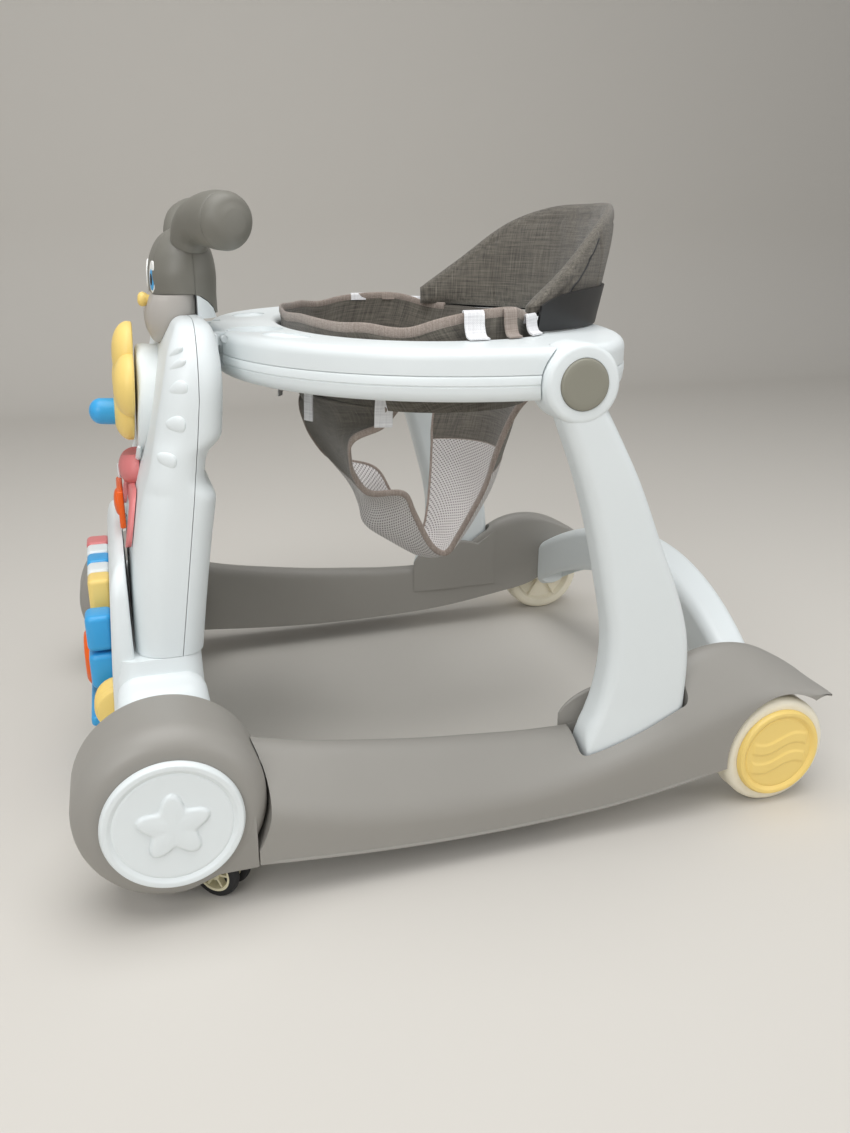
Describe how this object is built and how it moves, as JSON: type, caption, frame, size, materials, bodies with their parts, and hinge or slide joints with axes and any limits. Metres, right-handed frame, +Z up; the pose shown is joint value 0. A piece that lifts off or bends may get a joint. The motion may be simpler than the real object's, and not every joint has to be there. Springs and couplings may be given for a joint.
{
  "type": "baby walker",
  "caption": "Wheeled baby walker: low base with swivel casters, toy column with an animal-head handle, ring-shaped tray with a fabric sling seat, two side legs.",
  "frame": {"origin": "on the floor, midway across the walker and midway between its front and rear ends", "axes": "+Z up, +Y from the toy column at the front towards the rear wheels, +X to the child's left"},
  "size_m": [0.62, 0.725, 0.5855],
  "materials": {
    "grey_plastic": "fine satin grain, warm grey",
    "white_plastic": "satin, cool white",
    "dark_grey_plastic": "satin, dark warm grey",
    "muzzle_plastic": "satin, light warm grey",
    "yellow_plastic": "satin, pale yellow",
    "blue_plastic": "glossy sky blue",
    "orange_plastic": "glossy orange",
    "pink_plastic": "satin, dusty pink",
    "cream_tyre": "satin, cream",
    "black_plastic": "satin black",
    "steel": "turned steel",
    "board_green": "solder-masked circuit board",
    "seat_fabric": "dark melange woven cloth",
    "air_mesh": "light spacer mesh"
  },
  "bodies": {
    "base": {"rail_left": "grey_plastic", "rail_right": "grey_plastic", "corner_housing_left": "grey_plastic", "corner_housing_right": "grey_plastic", "star_cap_left": "white_plastic", "star_cap_right": "white_plastic", "front_base": "white_plastic", "rear_crossbar": "white_plastic", "rear_axle_left": "steel", "rear_axle_right": "steel", "blue_shelf": "blue_plastic"},
    "column": {"column_front_shell": "white_plastic", "column_rear_shell": "white_plastic", "tray_hinge_bracket": "white_plastic", "tray_hinge_pin": "steel", "spinner_base": "white_plastic", "pink_arch": "pink_plastic", "pink_dome": "pink_plastic", "flap_pin": "white_plastic", "head_front_shell": "dark_grey_plastic", "head_rear_shell": "dark_grey_plastic", "muzzle": "muzzle_plastic", "grip_left": "dark_grey_plastic", "grip_right": "dark_grey_plastic", "circuit_board": "board_green", "speaker": "black_plastic", "battery_box": "black_plastic"},
    "tray": {"tray_top": "white_plastic", "tray_underside": "white_plastic", "seat_back": "seat_fabric", "seat_rim": "seat_fabric", "seat_crotch": "air_mesh", "back_plate": "black_plastic"},
    "spinner": {"spinner_rotor": "yellow_plastic", "spinner_knob": "blue_plastic"},
    "flap": {"picture_flap": "orange_plastic"},
    "leg_left": {"leg_left": "white_plastic", "pivot_cap_left": "dark_grey_plastic"},
    "leg_right": {"leg_right": "white_plastic", "pivot_cap_right": "dark_grey_plastic"},
    "rear_wheel_left": {"rear_wheel_left": "cream_tyre", "wheel_cap_left": "yellow_plastic"},
    "rear_wheel_right": {"rear_wheel_right": "cream_tyre", "wheel_cap_right": "yellow_plastic"},
    "caster_left": {"caster_fork_left": "black_plastic"},
    "caster_wheel_outer_left": {"caster_wheel_outer_left": "black_plastic"},
    "caster_wheel_inner_left": {"caster_wheel_inner_left": "black_plastic"},
    "caster_right": {"caster_fork_right": "black_plastic"},
    "caster_wheel_outer_right": {"caster_wheel_outer_right": "black_plastic"},
    "caster_wheel_inner_right": {"caster_wheel_inner_right": "black_plastic"},
    "piano_key_1": {"piano_key_1": "pink_plastic"},
    "piano_key_2": {"piano_key_2": "white_plastic"},
    "piano_key_3": {"piano_key_3": "blue_plastic"},
    "piano_key_4": {"piano_key_4": "white_plastic"},
    "piano_key_5": {"piano_key_5": "yellow_plastic"},
    "blue_button_upper": {"blue_button_upper": "blue_plastic"},
    "blue_button_lower": {"blue_button_lower": "blue_plastic"},
    "white_button": {"white_button": "white_plastic"},
    "orange_dial": {"orange_dial": "orange_plastic"},
    "yellow_roller": {"yellow_roller": "yellow_plastic"}
  },
  "joints": [
    {"name": "height_adjust", "type": "slide", "parent": "base", "child": "column", "axis": [0, 0, 1], "range_m": [0, 0.036]},
    {"name": "tray_lift", "type": "hinge", "parent": "column", "child": "tray", "pos_m": [0, -0.1905, 0.4565], "axis": [1, 0, 0], "range_deg": [0, 40]},
    {"name": "leg_pivot_left", "type": "hinge", "parent": "tray", "child": "leg_left", "pos_m": [0.28, 0.07, 0.434], "axis": [1, 0, 0], "range_deg": [-40, 0]},
    {"name": "leg_pivot_right", "type": "hinge", "parent": "tray", "child": "leg_right", "pos_m": [-0.28, 0.07, 0.434], "axis": [1, 0, 0], "range_deg": [-40, 0]},
    {"name": "spinner_turn", "type": "hinge", "parent": "column", "child": "spinner", "pos_m": [0, -0.28245, 0.41157], "axis": [0, -0.9976, 0.0698], "continuous": true},
    {"name": "flap_turn", "type": "hinge", "parent": "column", "child": "flap", "pos_m": [-0.033, -0.2965, 0.29], "axis": [0, 0, 1], "range_deg": [-150, 0]},
    {"name": "rear_wheel_roll_left", "type": "hinge", "parent": "base", "child": "rear_wheel_left", "pos_m": [0.2825, 0.3055, 0.057], "axis": [1, 0, 0], "continuous": true},
    {"name": "rear_wheel_roll_right", "type": "hinge", "parent": "base", "child": "rear_wheel_right", "pos_m": [-0.2825, 0.3055, 0.057], "axis": [1, 0, 0], "continuous": true},
    {"name": "caster_swivel_left", "type": "hinge", "parent": "base", "child": "caster_left", "pos_m": [0.256, -0.258, 0.068], "axis": [0, 0, 1], "continuous": true},
    {"name": "caster_roll_outer_left", "type": "hinge", "parent": "caster_left", "child": "caster_wheel_outer_left", "pos_m": [0.27485, -0.25032, 0.0225], "axis": [-0.766, 0.6428, 0], "continuous": true},
    {"name": "caster_roll_inner_left", "type": "hinge", "parent": "caster_left", "child": "caster_wheel_inner_left", "pos_m": [0.26029, -0.23811, 0.0225], "axis": [-0.766, 0.6428, 0], "continuous": true},
    {"name": "caster_swivel_right", "type": "hinge", "parent": "base", "child": "caster_right", "pos_m": [-0.256, -0.258, 0.068], "axis": [0, 0, 1], "continuous": true},
    {"name": "caster_roll_outer_right", "type": "hinge", "parent": "caster_right", "child": "caster_wheel_outer_right", "pos_m": [-0.27485, -0.25032, 0.0225], "axis": [-0.766, -0.6428, 0], "continuous": true},
    {"name": "caster_roll_inner_right", "type": "hinge", "parent": "caster_right", "child": "caster_wheel_inner_right", "pos_m": [-0.26029, -0.23811, 0.0225], "axis": [-0.766, -0.6428, 0], "continuous": true},
    {"name": "piano_key_1_press", "type": "slide", "parent": "base", "child": "piano_key_1", "axis": [0, 1, 0], "range_m": [0, 0.003], "stiffness_N_per_m": 300, "springref_m": -0.001},
    {"name": "piano_key_2_press", "type": "slide", "parent": "base", "child": "piano_key_2", "axis": [0, 1, 0], "range_m": [0, 0.003], "stiffness_N_per_m": 300, "springref_m": -0.001},
    {"name": "piano_key_3_press", "type": "slide", "parent": "base", "child": "piano_key_3", "axis": [0, 1, 0], "range_m": [0, 0.003], "stiffness_N_per_m": 300, "springref_m": -0.001},
    {"name": "piano_key_4_press", "type": "slide", "parent": "base", "child": "piano_key_4", "axis": [0, 1, 0], "range_m": [0, 0.003], "stiffness_N_per_m": 300, "springref_m": -0.001},
    {"name": "piano_key_5_press", "type": "slide", "parent": "base", "child": "piano_key_5", "axis": [0, 1, 0], "range_m": [0, 0.003], "stiffness_N_per_m": 300, "springref_m": -0.001},
    {"name": "blue_button_upper_press", "type": "slide", "parent": "base", "child": "blue_button_upper", "axis": [0, 1, 0], "range_m": [0, 0.003], "stiffness_N_per_m": 300, "springref_m": -0.001},
    {"name": "blue_button_lower_press", "type": "slide", "parent": "base", "child": "blue_button_lower", "axis": [0, 1, 0], "range_m": [0, 0.003], "stiffness_N_per_m": 300, "springref_m": -0.001},
    {"name": "white_button_press", "type": "slide", "parent": "base", "child": "white_button", "axis": [0, 1, 0], "range_m": [0, 0.003], "stiffness_N_per_m": 300, "springref_m": -0.001},
    {"name": "dial_turn", "type": "hinge", "parent": "base", "child": "orange_dial", "pos_m": [0.01, -0.336, 0.127], "axis": [0, -1, 0], "continuous": true},
    {"name": "roller_turn", "type": "hinge", "parent": "base", "child": "yellow_roller", "pos_m": [0.112, -0.3185, 0.118], "axis": [1, 0, 0], "continuous": true}
  ],
  "couplings": [
    {"joint": "leg_pivot_left", "follows": "tray_lift", "ratio": -1},
    {"joint": "leg_pivot_right", "follows": "tray_lift", "ratio": -1}
  ]
}
